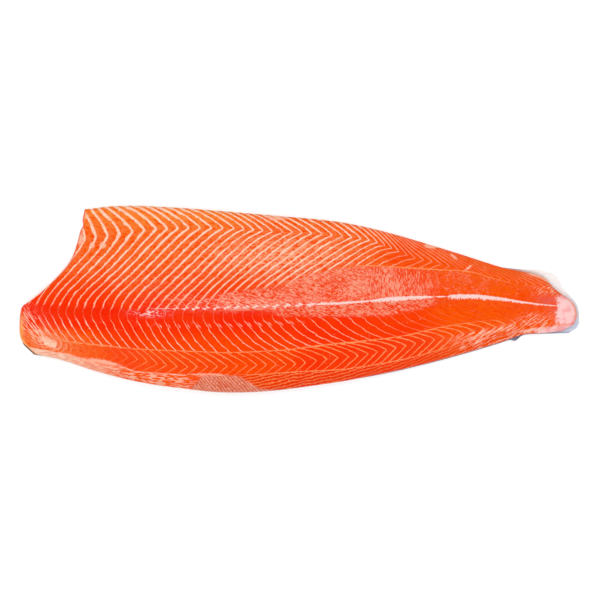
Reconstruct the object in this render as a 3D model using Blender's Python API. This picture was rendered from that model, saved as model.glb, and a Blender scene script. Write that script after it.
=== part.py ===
# Raw salmon fillet with its skin on, lying skin down.
# +X runs from the head cut to the tail, +Y from the back to the belly, +Z up from the skin to the cut face.
# A place along the fillet is a share of its length from the head (0) to the tail (1).
# A place across it runs from the back edge (-1) over the midline (0) to the belly edge (1).
import math

import bmesh
import bpy
from mathutils import Vector

# Driving dimensions in metres
LENGTH = 0.559
WIDTH = 0.186
CROWN = 0.034
SKIN = 0.001
GAP = 0.0003

# How the edges are cut and rolled, in metres
HEAD_SLOPE = 0.007
SIDE_ROUND = 0.008
HEAD_ROUND = 0.005
TAIL_ROUND = 0.014
BACK_ROLL = 0.0065
BELLY_ROLL = 0.0015
FURROW_DEPTH = 0.0014
FURROW_WIDTH = 0.007

# Shares of the fillet that the edges take
WALL = 0.4
ROLL_START = 0.70
BELLY_ROLL_START = 0.82
HEAD_SLOPE_REACH = 0.12

# Faces along and across each sheet, and how much they crowd towards the ends
ALONG = 58
ACROSS = 22
END_CROWDING = 0.72

# The midline's sideways place, as a share of the width, at shares of the length
MIDLINE = [(0, -0.024), (0.14, -0.035), (0.27, -0.046), (0.38, -0.043), (0.54, -0.024),
           (0.64, -0.003), (0.72, 0.011), (0.79, 0.016), (0.86, 0.003), (0.93, -0.022), (1, -0.046)]

# The skin's reach from the midline, as a share of the width, at shares of the length
BELLY_REACH = [(0, 0.511), (0.118, 0.519), (0.16, 0.536), (0.214, 0.545), (0.286, 0.538), (0.357, 0.52),
               (0.5, 0.468), (0.572, 0.433), (0.643, 0.373), (0.715, 0.300), (0.786, 0.228),
               (0.858, 0.173), (0.894, 0.172), (0.929, 0.180), (0.96, 0.164), (1, 0.158)]
BACK_REACH = [(0, 0.257), (0.032, 0.272), (0.071, 0.291), (0.143, 0.353), (0.214, 0.399), (0.286, 0.427),
              (0.366, 0.453), (0.447, 0.453), (0.536, 0.432), (0.643, 0.401), (0.715, 0.365),
              (0.786, 0.315), (0.858, 0.238), (0.900, 0.180), (0.929, 0.163), (0.96, 0.150), (1, 0.132)]

# Where the head cut and the tail end stand along the length, at places across
HEAD_CUT = [(-1, 0.026), (-0.84, 0.007), (-0.69, 0.001), (-0.42, 0.0), (-0.16, 0.002), (-0.02, 0.007),
            (0.05, 0.022), (0.126, 0.038), (0.358, 0.077), (0.505, 0.094), (0.737, 0.1065), (0.78, 0.1085),
            (0.83, 0.113), (0.88, 0.112), (1, 0.116)]
SKIN_TAIL = [(-1, 0.981), (-0.8, 0.996), (-0.4, 1.0), (0, 0.998), (0.2, 0.993), (0.4, 0.983),
             (0.6, 0.971), (0.8, 0.966), (1, 0.957)]
FLESH_TAIL = [(-1, 0.970), (-0.8, 0.988), (-0.4, 0.995), (0, 0.993), (0.25, 0.988), (0.5, 0.976),
              (0.8, 0.955), (1, 0.942)]

# How far the skin shows past the flesh, as a share of the width, at shares of the length
SKIN_PAST_BELLY = [(0, 0.003), (0.85, 0.005), (0.9, 0.014), (0.93, 0.029), (0.96, 0.055), (1, 0.065)]
SKIN_PAST_BACK = [(0, 0.022), (0.035, 0.012), (0.07, 0.004), (0.6, 0.006), (0.86, 0.010), (0.93, 0.018), (1, 0.02)]

# How far it shows past the flesh at the head cut, as a share of the length
SKIN_PAST_HEAD = 0.0015

# The adipose fin's stub on the back edge, in metres and as a share of the length
STUB_PLACE = 0.886
STUB_LENGTH = 0.008
STUB_PROUD = 0.0035

# Thickness: the crown along the length, and each section across as a share of the crown
CROWN_ALONG = [(0, 0.80), (0.15, 0.92), (0.35, 1.0), (0.5, 0.97), (0.65, 0.85), (0.8, 0.62), (0.9, 0.44),
               (0.97, 0.30), (1, 0.25)]
FRONT_SECTION = [(-1, 0.42), (-0.85, 0.70), (-0.6, 0.95), (-0.4, 1.0), (-0.2, 0.95), (0, 0.83),
                 (0.3, 0.61), (0.6, 0.43), (0.85, 0.31), (1, 0.25)]
TAIL_SECTION = [(-1, 0.50), (-0.7, 0.86), (-0.35, 1.0), (0, 0.96), (0.4, 0.86), (0.75, 0.68), (1, 0.50)]
SECTION_CHANGE = (0.6, 0.88)


def smooth_through(points, x):
    """The value at x of a smooth curve through the points."""
    last = len(points) - 1
    i = max(j for j in range(last) if j == 0 or points[j][0] <= x)
    slopes = []
    for j in (i, i + 1):
        before = points[max(j - 1, 0)]
        after = points[min(j + 1, last)]
        slopes.append((after[1] - before[1]) / (after[0] - before[0]))
    (x0, y0), (x1, y1) = points[i], points[i + 1]
    span = x1 - x0
    k = min(max((x - x0) / span, 0.0), 1.0)
    return ((1 + 2 * k) * (1 - k) ** 2 * y0 + k * (1 - k) ** 2 * span * slopes[0]
            + k * k * (3 - 2 * k) * y1 + k * k * (k - 1) * span * slopes[1])


def ramp(x, start, end):
    """Rises smoothly from 0 at start to 1 at end."""
    k = min(max((x - start) / (end - start), 0.0), 1.0)
    return k * k * (3 - 2 * k)


def quarter_round(distance, radius):
    """The height share of a rounded edge, from its wall at distance 0 to full at the radius."""
    k = min(max(distance / radius, 0.0), 1.0)
    return WALL + (1 - WALL) * math.sqrt(1 - (1 - k) ** 2)


def midline(u):
    return smooth_through(MIDLINE, u) * WIDTH


def skin_reach(u, t):
    """The skin's reach from the midline to the belly edge or the back edge."""
    if t > 0:
        return smooth_through(BELLY_REACH, u) * WIDTH
    from_stub = (u - STUB_PLACE) * LENGTH / STUB_LENGTH
    return smooth_through(BACK_REACH, u) * WIDTH + STUB_PROUD * math.exp(-(2 * from_stub) ** 2)


def flesh_reach(u, t):
    if t > 0:
        return (smooth_through(BELLY_REACH, u) - smooth_through(SKIN_PAST_BELLY, u)) * WIDTH
    return (smooth_through(BACK_REACH, u) - smooth_through(SKIN_PAST_BACK, u)) * WIDTH


def underside(x, y):
    """The height of the skin's outer face: flat below, rolled up along both edges."""
    u = x / LENGTH + 0.5
    t = y - midline(u)
    t /= skin_reach(u, t)
    back = max(-t - ROLL_START, 0.0) / (1 - ROLL_START)
    belly = max(t - BELLY_ROLL_START, 0.0) / (1 - BELLY_ROLL_START)
    thinning = smooth_through(CROWN_ALONG, u)
    return BACK_ROLL * thinning * min(back, 1.1) ** 2 + BELLY_ROLL * min(belly, 1.1) ** 2


def over_skin(x, y, thickness):
    """The height of a face that keeps this thickness, square to the skin, above its outer face."""
    step = 0.0005
    rise = (underside(x, y + step) - underside(x, y - step)) / (2 * step)
    return underside(x, y) + thickness * math.hypot(1, rise)


def furrow(u, t, reach):
    """The shallow groove that the lateral line leaves along the midline."""
    across = t * reach / FURROW_WIDTH
    along = ramp(u, 0.02, 0.12) * (1 - ramp(u, 0.9, 0.97))
    return FURROW_DEPTH * along * math.exp(-across * across)


def flesh_thickness(u, t, reach, from_head, from_tail):
    """The flesh's height above the skin, with its edges rounded off."""
    change = ramp(u, *SECTION_CHANGE)
    section = (1 - change) * smooth_through(FRONT_SECTION, t) + change * smooth_through(TAIL_SECTION, t)
    full = CROWN * smooth_through(CROWN_ALONG, u) * section - SKIN - GAP - furrow(u, t, reach)
    side_round = min(SIDE_ROUND, 0.5 * reach)
    return (full * quarter_round((1 - abs(t)) * reach, side_round)
            * quarter_round(from_head, HEAD_ROUND) * quarter_round(from_tail, TAIL_ROUND))


def skin_point(s, t, level):
    """A point of the skin: level 0 is its outer face, level 1 its inner face."""
    head = smooth_through(HEAD_CUT, t)
    u = head + (smooth_through(SKIN_TAIL, t) - head) * s
    x = (u - 0.5) * LENGTH
    y = midline(u) + t * skin_reach(u, t)
    return Vector((x, y, over_skin(x, y, SKIN * level)))


def flesh_point(s, t, level):
    """A point of the flesh: level 0 lies on the skin, level 1 is the cut face."""
    head = smooth_through(HEAD_CUT, t) + SKIN_PAST_HEAD
    tail = smooth_through(FLESH_TAIL, t)
    u = head + (tail - head) * s
    reach = flesh_reach(u, t)
    x = (u - 0.5) * LENGTH
    y = midline(u) + t * reach
    base = over_skin(x, y, SKIN + GAP)
    if level == 0:
        return Vector((x, y, base))
    height = flesh_thickness(u, t, reach, (u - head) * LENGTH, (tail - u) * LENGTH)
    lean = HEAD_SLOPE * (1 - ramp(s, 0, HEAD_SLOPE_REACH))
    return Vector((x + lean, y, base + height))


def slab(name, place, material):
    """A closed sheet: a grid, extruded to two levels and set in place, point by point."""
    bm = bmesh.new()
    bmesh.ops.create_grid(bm, x_segments=ALONG, y_segments=ACROSS, size=1)
    raised = bmesh.ops.extrude_face_region(bm, geom=bm.faces[:])
    top = [item for item in raised["geom"] if isinstance(item, bmesh.types.BMVert)]
    bmesh.ops.translate(bm, vec=(0, 0, 1), verts=top)
    for vert in bm.verts:
        v = (vert.co.x + 1) / 2
        s = v - END_CROWDING / math.tau * math.sin(math.tau * v)
        t = math.sin(math.pi / 2 * vert.co.y)
        vert.co = place(s, t, vert.co.z)
    bmesh.ops.triangulate(bm, faces=bm.faces[:])
    bmesh.ops.recalc_face_normals(bm, faces=bm.faces[:])
    mesh = bpy.data.meshes.new(name)
    bm.to_mesh(mesh)
    bm.free()
    mesh.materials.append(material)
    mesh.shade_smooth()
    mesh.set_sharp_from_angle(angle=math.radians(50))
    piece = bpy.data.objects.new(name, mesh)
    bpy.context.collection.objects.link(piece)
    return piece


def principled(name, colour, roughness):
    material = bpy.data.materials.new(name)
    material.use_nodes = True
    shader = material.node_tree.nodes["Principled BSDF"]
    shader.inputs["Base Color"].default_value = (*colour, 1)
    shader.inputs["Roughness"].default_value = roughness
    shader.inputs["Metallic"].default_value = 0
    return material


for old in list(bpy.data.objects):
    bpy.data.objects.remove(old, do_unlink=True)

slab("skin", skin_point, principled("silver skin", (0.30, 0.32, 0.36), 0.35))
slab("flesh", flesh_point, principled("raw salmon", (0.90, 0.17, 0.05), 0.30))
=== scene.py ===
from types import SimpleNamespace
import bmesh
import bpy
import numpy as np
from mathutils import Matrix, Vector


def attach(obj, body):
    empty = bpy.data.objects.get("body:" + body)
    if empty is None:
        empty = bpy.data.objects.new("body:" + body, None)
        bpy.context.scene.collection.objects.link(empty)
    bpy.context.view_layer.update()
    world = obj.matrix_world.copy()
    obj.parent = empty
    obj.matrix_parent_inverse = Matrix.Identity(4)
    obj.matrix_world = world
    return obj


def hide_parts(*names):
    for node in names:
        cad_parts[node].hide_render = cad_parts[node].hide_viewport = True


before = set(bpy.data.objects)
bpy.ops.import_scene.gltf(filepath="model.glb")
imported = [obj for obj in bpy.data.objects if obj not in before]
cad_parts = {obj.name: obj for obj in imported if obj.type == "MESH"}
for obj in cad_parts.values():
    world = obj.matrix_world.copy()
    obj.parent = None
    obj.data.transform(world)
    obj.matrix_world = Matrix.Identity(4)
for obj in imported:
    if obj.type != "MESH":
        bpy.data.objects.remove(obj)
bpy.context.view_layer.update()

studio = {
    "floorSize": 24.0, "floorTone": 0.94, "worldStrength": 0.45, "brightness": 1.64, "sheen": 0.009,
    "cameraHeight": 3.0, "viewWidth": 0.600, "sensor": 36.0, "imageCentre": (0.0005, -0.0005),
    "lamps": [((-1.2, -1.4, 1.9), 1.8, 42), ((1.5, -1.4, 1.9), 1.8, 33),
              ((1.4, 1.3, 1.9), 1.8, 35), ((-1.4, 1.4, 1.9), 1.8, 35)],
}

# Places on the fillet are in millimetres: "along" runs from the head end to the tail end of the CAD box,
# "up" runs across it from the box's centre line, positive towards the belly. "share" values run 0 to 1.
mm = 0.001
form = {
    "length": 559.0, "width": 186.0, "crown": 34.0, "skin": 1.0, "gap": 0.3,
    "headLean": [(-1, 0.8), (-0.3, 0.8), (0.1, 0.6), (1, 0.6)], "headLeanReach": 0.12,
    "headRound": [(-1, 3.2), (-0.5, 3.0), (0, 2.6), (1, 2.6)], "sideRound": 8.0, "tailRound": 14.0,
    "backRoll": 6.5, "bellyRoll": 1.5, "backRollStart": 0.70, "bellyRollStart": 0.82,
    "wall": 0.4, "furrowDepth": 1.4, "furrowWidth": 7.0,
    "stubPlace": 0.886, "stubLength": 8.0, "stubProud": 3.5,
    "midline": [(0, -0.024), (0.14, -0.035), (0.27, -0.046), (0.38, -0.043), (0.54, -0.024),
                (0.64, -0.003), (0.72, 0.011), (0.79, 0.016), (0.86, 0.003), (0.93, -0.022),
                (1, -0.046)],
    "bellyReach": [(0, 0.511), (0.118, 0.519), (0.16, 0.536), (0.214, 0.545), (0.286, 0.538),
                   (0.357, 0.52), (0.5, 0.468), (0.572, 0.433), (0.643, 0.373), (0.715, 0.300),
                   (0.786, 0.228), (0.858, 0.173), (0.894, 0.172), (0.929, 0.180), (0.96, 0.164),
                   (1, 0.158)],
    "backReach": [(0, 0.257), (0.032, 0.272), (0.071, 0.291), (0.143, 0.353), (0.214, 0.399),
                  (0.286, 0.427), (0.366, 0.453), (0.447, 0.453), (0.536, 0.432), (0.643, 0.401),
                  (0.715, 0.365), (0.786, 0.315), (0.858, 0.238), (0.900, 0.180), (0.929, 0.163),
                  (0.96, 0.150), (1, 0.132)],
    "headCut": [(-1, 0.026), (-0.84, 0.007), (-0.69, 0.001), (-0.42, 0.0), (-0.16, 0.002),
                (-0.02, 0.007), (0.05, 0.022), (0.126, 0.038), (0.358, 0.077), (0.505, 0.094),
                (0.737, 0.1065), (0.78, 0.1085), (0.83, 0.113), (0.88, 0.112), (1, 0.116)],
    "skinTail": [(-1, 0.981), (-0.8, 0.996), (-0.4, 1.0), (0, 0.998), (0.2, 0.993), (0.4, 0.983),
                 (0.6, 0.971), (0.8, 0.966), (1, 0.957)],
    "fleshTail": [(-1, 0.970), (-0.8, 0.988), (-0.4, 0.995), (0, 0.993), (0.25, 0.988), (0.5, 0.976),
                  (0.8, 0.955), (1, 0.942)],
    "skinShowsBelly": [(0, 0), (0.84, 0), (0.87, 0.6), (0.9, 2.6), (0.93, 5.4), (0.96, 10.2), (1, 12)],
    "skinShowsBack": [(0, 1.1), (0.03, 0.8), (0.05, 0), (0.57, 0), (0.64, 0.6), (0.75, 0.8),
                      (0.86, 0.8), (0.9, 0.6), (0.935, 0.6), (0.965, 2.2), (1, 4)],
    "skinShowsHead": [(-1, 0.8), (-0.88, 1.0), (-0.76, 0), (1, 0)],
    "skinTuck": 0.9,
    "crownAlong": [(0, 0.80), (0.15, 0.92), (0.35, 1.0), (0.5, 0.97), (0.65, 0.85), (0.8, 0.62),
                   (0.9, 0.44), (0.97, 0.30), (1, 0.25)],
    "frontSection": [(-1, 0.42), (-0.85, 0.70), (-0.6, 0.95), (-0.4, 1.0), (-0.2, 0.95), (0, 0.83),
                     (0.3, 0.61), (0.6, 0.43), (0.85, 0.31), (1, 0.25)],
    "tailSection": [(-1, 0.50), (-0.7, 0.86), (-0.35, 1.0), (0, 0.96), (0.4, 0.86), (0.75, 0.68),
                    (1, 0.50)],
    "sectionChange": (0.6, 0.88),
}


def through(points, x):
    # a smooth curve through the points, for a whole array of x at once
    px, py = np.array(points, dtype=float).T
    slope = np.empty_like(py)
    slope[1:-1] = (py[2:] - py[:-2]) / (px[2:] - px[:-2])
    slope[0] = (py[1] - py[0]) / (px[1] - px[0])
    slope[-1] = (py[-1] - py[-2]) / (px[-1] - px[-2])
    i = np.clip(np.searchsorted(px, x, side="right") - 1, 0, len(px) - 2)
    span = px[i + 1] - px[i]
    k = np.clip((x - px[i]) / span, 0, 1)
    return ((1 + 2 * k) * (1 - k) ** 2 * py[i] + k * (1 - k) ** 2 * span * slope[i]
            + k * k * (3 - 2 * k) * py[i + 1] + k * k * (k - 1) * span * slope[i + 1])


def ramp(x, start, end):
    k = np.clip((x - start) / (end - start), 0, 1)
    return k * k * (3 - 2 * k)


def hump(x, middle, reach):
    return np.exp(-((x - middle) / reach) ** 2)


def highest(*values):
    return np.maximum.reduce(np.broadcast_arrays(*values))


def midlineUp(share):
    return through(form["midline"], share) * form["width"]


def skinReach(share, side):
    fromStub = (share - form["stubPlace"]) * form["length"]
    stub = form["stubProud"] * hump(fromStub, 0, form["stubLength"] / 2)
    belly = through(form["bellyReach"], share) * form["width"]
    back = through(form["backReach"], share) * form["width"] + stub
    return np.where(side > 0, belly, back)


def skinShows(share, side):
    # how much skin is seen past the flesh at the edges
    belly = through(form["skinShowsBelly"], share)
    back = through(form["skinShowsBack"], share)
    return np.where(side > 0, belly, back)


def fleshReach(share, side):
    belly = through(form["bellyReach"], share)
    back = through(form["backReach"], share)
    return np.where(side > 0, belly, back) * form["width"] - skinShows(share, side)


def underside(share, up):
    # height of the skin's outer face: flat below, rolled up along both edges
    side = up - midlineUp(share)
    side = side / skinReach(share, side)
    back = np.clip((-side - form["backRollStart"]) / (1 - form["backRollStart"]), 0, 1.1)
    belly = np.clip((side - form["bellyRollStart"]) / (1 - form["bellyRollStart"]), 0, 1.1)
    rolled = form["backRoll"] * through(form["crownAlong"], share) * back ** 2
    return rolled + form["bellyRoll"] * belly ** 2


def overSkin(share, up, thickness):
    step = 0.5
    rise = (underside(share, up + step) - underside(share, up - step)) / (2 * step)
    return underside(share, up) + thickness * np.hypot(1, rise)


def roundOff(distance, radius):
    k = np.clip(distance / radius, 0, 1)
    return form["wall"] + (1 - form["wall"]) * np.sqrt(1 - (1 - k) ** 2)


def ovalOff(distance, radius):
    # carries on the oval of the wall below it
    k = np.clip(distance / radius, 0, 1)
    return np.sqrt(1 - (1 - form["wall"] ** 2) * (1 - k) ** 2)


# How the pale muscle lines run. Line numbers count from the head; each curve gives where a line crosses.
bands = {
    "bellyApexUp": [(20, 58), (76.5, 61.5), (98.5, 64.5), (124.5, 68.5), (158, 70.5), (214, 70.5),
                    (252, 67.5), (291.5, 65.5), (331.5, 61.5), (357, 56.5), (378.5, 47.5), (393.5, 41),
                    (412, 37), (450, 27), (500, 16), (559, 8)],
    "whiteLineUp": [(0, -3), (20, -3.5), (70, -6.5), (110, -8.5), (160, -9), (210, -8), (300, -4.5),
                    (330, -3), (360, -0.5), (380, 1), (410, 2.5), (450, 3), (480, 0.5), (500, -2.5),
                    (520, -5), (559, -8)],
    "septumUp": [(0, -28), (33, -36.5), (50, -41.5), (85, -45.5), (120, -49), (180, -51.5),
                 (210, -52.5), (270, -49.5), (300, -45.5), (340, -41.5), (380, -36.5), (420, -27.5),
                 (460, -21.5), (480, -20.5), (559, -22)],
    "backApexUp": [(0, -44), (60, -52), (90, -55), (119, -59.5), (138, -63.5), (158.5, -66.5),
                   (198, -66.5), (237, -65), (277, -63.5), (306.5, -59), (338.5, -55.5), (366, -50),
                   (395, -43.5), (423.5, -38), (454, -31.5), (495, -24), (559, -24)],
    "stripUp": [(0, -45), (20, -49), (40, -52.5), (50, -54), (60, -57), (80, -62), (105, -67),
                (118, -71), (180, -74.5), (230, -74.5), (280, -71.5), (320, -69.5), (340, -67),
                (380, -60), (410, -52.5), (440, -43.5), (460, -38), (490, -31.5), (559, -30)],
    "scrapeTopUp": [(150, -3), (180, 1.5), (220, 9.5), (260, 14.5), (280, 21.5), (300, 27.5),
                    (340, 33.5), (380, 32), (420, 29.5), (450, 27.5), (470, 21.5), (490, 16.5),
                    (530, 8)],
    "bellyApexAlong": [(-6, 12), (-4, 34), (0, 76.5), (5, 136.5), (8, 169), (12, 214), (16, 252.5),
                       (20, 291.5), (24, 331.5), (27, 357), (30, 378.5), (33, 403), (36, 429),
                       (42, 480), (50, 550)],
    "whiteLineAlong": [(-6, -12), (-3, 4), (-1, 19), (0, 26), (5, 67), (10, 111.5), (15, 156.5),
                       (20, 207.5), (25, 257), (30, 315), (35, 379), (40, 436), (50, 552)],
    "backApexAlong": [(-8, -22), (-2, 35), (2, 70), (7, 119), (8, 129), (10, 148), (12, 168.5),
                      (16, 208), (20, 247), (24, 286), (28, 328), (32, 366), (36, 404), (40, 442.5),
                      (45, 495), (52, 568)],
    "bellyLean": [(-3, 0.4), (0, 0.5), (2, 0.75), (4, 0.85), (8, 1.05), (11, 1.3), (17, 1.45),
                  (24, 1.4), (30, 1.5), (33, 1.9), (38, 2.4), (50, 3.5)],
    "bellyCurl": [(-3, 0), (2, 0.0001), (6, 0.0005), (11, 0.001), (16, 0.0014), (22, 0.0014),
                  (28, 0.0008), (50, 0.0008)],
    "bellyNose": [(-3, 5), (0, 5), (2, 4), (4, 1.8), (11, 1.2), (50, 1.5)],
    "earlyBend": [(-4, -0.04), (0, -0.04), (2, -0.02), (6, 0.035), (15, 0.06), (24, 0.045), (50, 0.04)],
    "lateBend": [(-4, 0.04), (0, 0.045), (4, 0.085), (8, 0.085), (15, 0.03), (20, 0.11), (26, 0.16),
                 (50, 0.16)],
    "backSweep": [(-6, 14), (0, 16), (5, 18), (12, 19), (17, 22), (21, 31), (28, 36), (50, 34)],
    "backSweepShape": [(0, 0), (0.15, -0.12), (0.3, -0.08), (0.42, 0.08), (0.54, 0.2), (0.69, 0.42),
                       (0.78, 0.55), (0.88, 0.75), (1, 1), (1.2, 1.5)],
    "backNoseCurl": [(-8, 0.035), (12, 0.035), (24, 0.045), (30, 0.07), (52, 0.1)],
    "scrapeFloorUp": [(150, -10), (200, -16), (370, -17), (410, -9), (440, -2), (559, -2)],
    "finTopUp": [(165, -92), (172, -87), (176, -82), (181, -76.5), (186, -74.6), (214, -74.4),
                 (221, -76), (227, -79.5), (234, -84), (242, -87.5), (260, -88), (280, -85.8),
                 (300, -83.8)],
    # half the width of each seam along the fillet
    "seamWide": [(0, 0), (120, 0), (150, 0.35), (200, 0.62), (270, 0.8), (300, 1.1), (325, 1.2),
                 (337, 0.9), (350, 0.9), (360, 1.5), (372, 2.1), (386, 1.6), (408, 1.1), (413, 0.1),
                 (417, 0.7), (422, 0.7), (426, 0.1), (430, 1.5), (445, 2.0), (468, 1.8), (485, 1.4),
                 (496, 1.05), (510, 0.8), (530, 0.55), (541, 0)],
    "septumWide": [(28, 0), (42, 0.4), (70, 0.55), (85, 0.75), (104, 0.4), (130, 0.4), (200, 0.35),
                   (270, 0.5), (320, 0.75), (360, 0.5), (420, 0.35), (470, 0.1), (559, 0)],
    "stripWide": [(0, 0), (200, 0), (240, 0.3), (340, 0.45), (400, 0.35), (450, 0), (559, 0)],
    "scrapeWide": [(0, 0), (310, 0), (345, 0.45), (400, 0.55), (440, 0.4), (470, 0.3), (500, 0)],
    "stripSpacing": 3.1, "stripSlope": 0.16, "finSpacing": 2.6, "whorlSpacing": 2.4,
    # how strong, then the middle and reach along, the lean, the middle and reach across
    "fatPatches": [(0.95, 30, 10, 0.5, -41.5, 5), (0.95, 86, 20, 0.2, -63, 3.4),
                   (0.8, 186, 28, 0, -75, 2.2), (1, 73, 3, 0, 54.5, 3.4), (1, 83.5, 3.4, 0, 54, 3.4),
                   (0.9, 61, 3.5, 0, 60, 7)],
}


def curve(name, x):
    return through(bands[name], x)


def mainLineAlong(n, along, up):
    # where line n stands at this height, on the belly side, down to the white line and on to the septum
    apexUp = curve("bellyApexUp", along)
    whiteUp = curve("whiteLineUp", along)
    septumUp = curve("septumUp", along)
    apexAlong = curve("bellyApexAlong", n)
    whiteAlong = curve("whiteLineAlong", n)
    above = np.maximum(up - apexUp, 0)
    nose = curve("bellyNose", n)
    belly = apexAlong - curve("bellyLean", n) * (above - nose * (1 - np.exp(-above / nose)))
    belly = belly - curve("bellyCurl", n) * above ** 3
    way = np.clip((apexUp - up) / (apexUp - whiteUp), 0, 1)  # from the apex to the white line
    early = way * (1 - way) ** 4 / 0.082  # both bends peak at 1
    late = way ** 3 * (1 - way) / 0.105
    bend = way + curve("earlyBend", n) * early + curve("lateBend", n) * late
    middle = apexAlong + (whiteAlong - apexAlong) * bend
    wayBack = np.clip((whiteUp - up) / (whiteUp - septumUp), 0, 1.2)  # from there to the septum
    back = whiteAlong + curve("backSweepShape", wayBack) * curve("backSweep", n)
    return np.where(up > apexUp, belly, np.where(up > whiteUp, middle, back))


def backLineAlong(n, along, up):
    # where line n of the back's chevrons stands at this height
    apexUp = curve("backApexUp", along)
    apexAlong = curve("backApexAlong", n)
    above = np.maximum(up - apexUp, 0)
    below = np.maximum(apexUp - up, 0)
    curl = curve("backNoseCurl", n)
    upper = above * (1 + curl * above)
    lower = below * (1.3 - 6 * (curl - 0.035) + curl * 0.3 * below)
    return apexAlong - upper - lower


def solveLine(lineAlong, along, up, low, high):
    # the line number at each point, by halving the range
    low = np.full_like(along, low)
    high = np.full_like(along, high)
    for turn in range(22):
        middle = (low + high) / 2
        past = lineAlong(middle, along, up) > along
        high = np.where(past, middle, high)
        low = np.where(past, low, middle)
    return (low + high) / 2


def phaseAndGap(lineAlong, along, up, low, high):
    # the line number, and how many millimetres apart the lines stand there
    step = 0.4
    here = solveLine(lineAlong, along, up, low, high)
    ahead = solveLine(lineAlong, along + step, up, low, high)
    over = solveLine(lineAlong, along, up + step, low, high)
    slope = np.hypot(ahead - here, over - here) / step
    return here, 1 / np.maximum(slope, 0.05)


def addZones(at):
    # how far each place is above the white line and the other borders, and which parts it lies in
    along, up = at.along, at.up
    at.seamAway = up - curve("whiteLineUp", along)
    at.septumAway = up - curve("septumUp", along)
    at.stripAway = up - curve("stripUp", along)
    at.scrapeAway = up - curve("scrapeTopUp", along)
    at.inStrip = ramp(-at.stripAway, -0.8, 0.8)
    at.inBack = ramp(-at.septumAway, -0.8, 0.8) * (1 - at.inStrip)
    at.inMain = (1 - ramp(-at.septumAway, -0.8, 0.8)) * (1 - at.inStrip)
    inWhorl = hump(along, 31, 17) * hump(up + 0.25 * (along - 30), -42, 8)
    headSide = ramp(up + 39 + 0.5 * (along - 21), -1, 4) * (1 - ramp(along, 30, 42))
    at.inWhorl = inWhorl * (1 - 0.85 * headSide)
    inScrape = ramp(-at.scrapeAway, -2, 2.5) * ramp(along, 165, 225)
    inScrape = inScrape * ramp(up - curve("scrapeFloorUp", along), -3, 4)
    thinned = ramp(-at.seamAway, 2, 5) * (1 - ramp(along, 238, 268))
    at.inScrape = inScrape * (1 - 0.65 * thinned)
    at.scrape = at.inScrape * (1 - 0.6 * ramp(along, 370, 430) - 0.3 * ramp(along, 460, 520))


def addPhases(at):
    # a phase is whole on a line; a gap is how many millimetres lie between two lines
    along, up = at.along, at.up
    at.mainPhase, at.mainGap = phaseAndGap(mainLineAlong, along, up, -10, 56)
    at.backPhase, at.backGap = phaseAndGap(backLineAlong, along, up, -12, 58)
    at.fromEye = np.hypot(0.40 * (along - 21) - 0.13 * (up + 39), 0.31 * (along - 21) + 0.95 * (up + 39))
    stripPhase = (bands["stripSlope"] * along - at.stripAway) / bands["stripSpacing"]
    at.stripPhase = np.where(along < 90, at.fromEye / bands["whorlSpacing"], stripPhase)
    bent = 0.002 * np.maximum(along - 195, 0) ** 2
    at.finPhase = (0.77 * along - bent + 0.64 * up) / bands["finSpacing"]


def addEnds(at):
    # the tail's pale tissue, raw spots and rim, and the cut head end
    along, up = at.along, at.up
    tissue = ramp(along + 0.12 * np.abs(up + 4), 529, 545) * ramp(up, -30, -20) * (1 - ramp(up, 0, 9))
    at.tissue = np.maximum(tissue, ramp(along, 490, 540) * (1 - ramp(at.fromEdge, 3, 8)) * (up < 0))
    at.raw = highest(hump(along, 528, 13) * hump(up, -0.5, 5.5), hump(along, 536, 8) * hump(up, -11, 4.5))
    at.tailRim = (1 - ramp(at.fromTail, 1.4, 2.6)) * ramp(up, -22, -16) * (1 - ramp(up, 0, 8))
    at.cutFace = (1 - ramp(at.fromHead, 1.5, 8)) * np.maximum(ramp(-up, 12, 24), 0.5 * ramp(up, 70, 76))
    at.frontCut = (1 - ramp(at.fromHead, 0.8, 2.0)) * ramp(up, -4, 4)


def addMainLines(at):
    # boldest on the belly, faint just below the white line and where the strip is scraped
    along, up, d = at.along, at.up, at.seamAway
    belowWhite = ramp(-d, 0, 3)
    strong = (0.95 - 0.12 * ramp(curve("bellyApexUp", along) - up, 20, 62)) * (1 - belowWhite)
    strong += belowWhite * (0.18 + 0.62 * ramp(-d, 10, 17))
    strong *= 1 - 0.88 * at.inScrape
    strong *= 1 - 0.8 * at.inWhorl
    strong *= 1 - 0.8 * ramp(along, 380, 440) * ramp(-d, 0, 4)
    strong *= 1 - 0.35 * ramp(along, 345, 400) - 0.2 * ramp(along, 420, 480)
    strong *= 1 - 0.6 * ramp(along, 405, 440) * ramp(d, 14, 24) * (1 - ramp(along, 490, 505))
    nearWhite = hump(d, 1.0, 2.2) * (1 - ramp(along, 130, 180))
    strong = np.maximum(strong, 0.95 * nearWhite)
    strong *= (1 - 0.3 * at.frontCut) * (1 - 0.7 * at.cutFace)
    at.ticks = hump(along, 55, 20) * hump(up + 0.1 * along, -19, 5.5)  # short bold lines at the nape
    at.mainShow = np.clip(np.maximum(strong, at.ticks), 0, 1) * at.inMain
    wide = 0.48 + 0.55 * (1 - ramp(along, 90, 230)) * ramp(d, 50, 72) + 0.13 * ramp(d, 10, 60)
    wide = wide - 0.2 * ramp(along, 300, 390)
    bold = ramp(d, 2, 12) * (1 - ramp(d, 50, 68)) * ramp(along, 50, 130) * (1 - ramp(along, 270, 340))
    wide = (wide + 0.2 * bold) * (1 - 0.25 * belowWhite)
    at.mainWide = wide + 0.3 * nearWhite + 0.1 * at.ticks


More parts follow.
